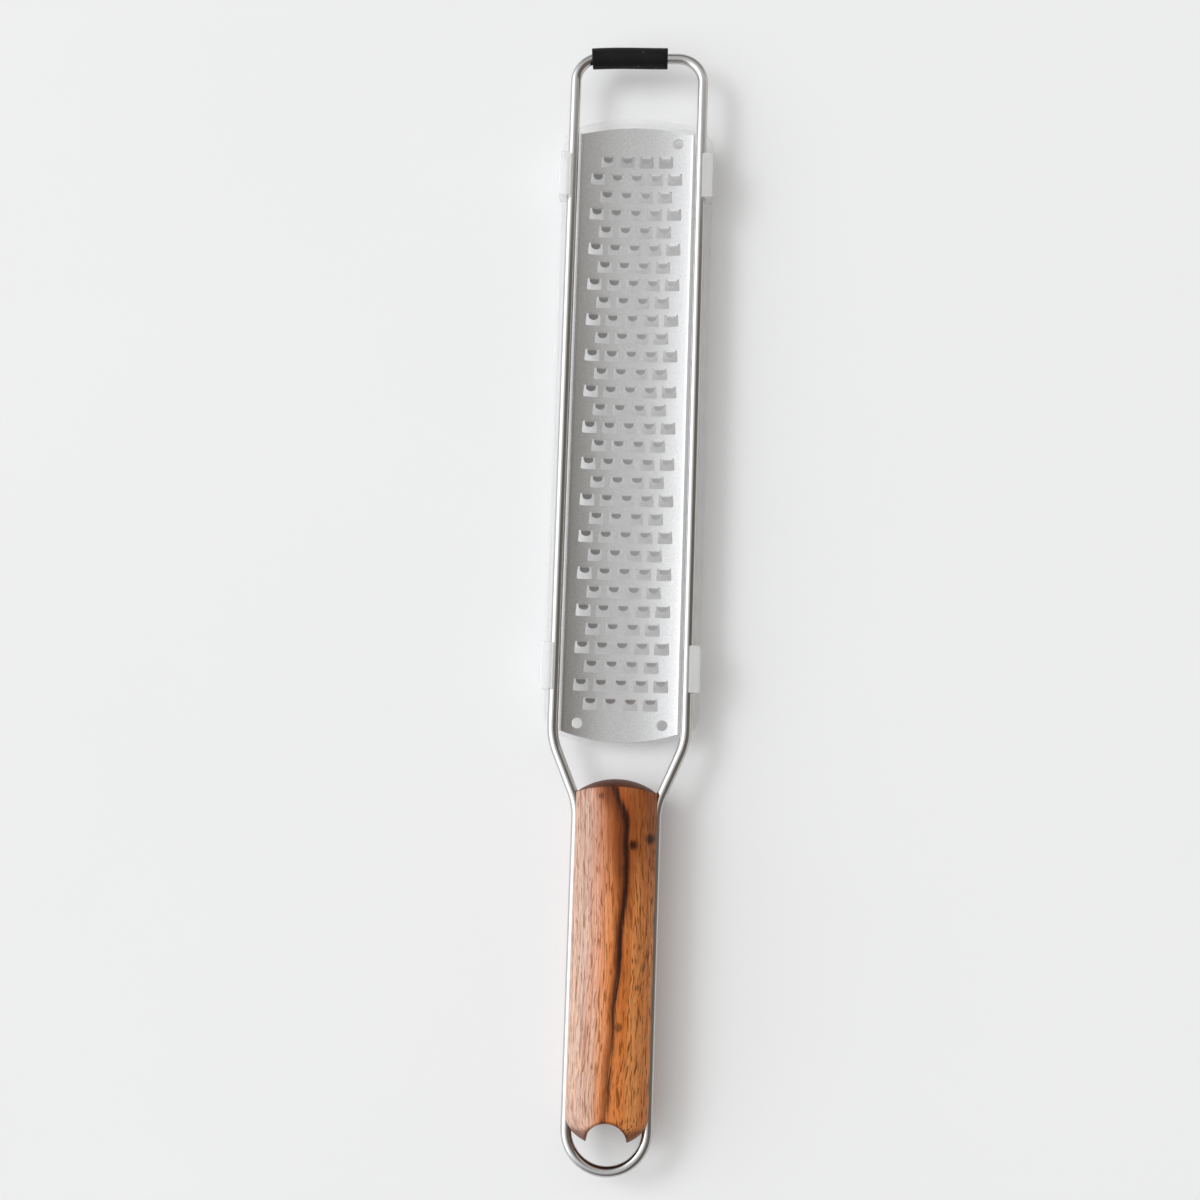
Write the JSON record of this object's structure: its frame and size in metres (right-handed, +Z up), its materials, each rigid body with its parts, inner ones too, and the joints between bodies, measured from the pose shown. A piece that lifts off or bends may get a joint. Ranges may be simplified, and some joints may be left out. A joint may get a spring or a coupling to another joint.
{
  "type": "cheese grater",
  "caption": "Long flat cheese grater: troughed toothed steel blade on a wire frame, wooden handle with hanging loop, rubber nose sleeve and a clear slide-off cover over the teeth.",
  "frame": {"origin": "on the table under the middle of the whole tool, cover fitted", "axes": "+Y from the handle to the nose, +Z up with the trough of the blade open to the top, +X to the right when the nose points away"},
  "size_m": [0.0476, 0.3412, 0.0182],
  "materials": {
    "wire_steel": "polished",
    "blade_steel": "satin",
    "black_rubber": "matte",
    "handle_wood": "oiled satin",
    "clear_plastic": "clear"
  },
  "bodies": {
    "grater": {"wire_frame": "wire_steel", "grating_blade": "blade_steel", "nose_sleeve": "black_rubber", "wood_handle": "handle_wood"},
    "cover": {"blade_cover": "clear_plastic"}
  },
  "joints": [
    {"name": "cover_slide", "type": "slide", "parent": "grater", "child": "cover", "axis": [0, 1, 0], "range_m": [0, 0.222]}
  ]
}
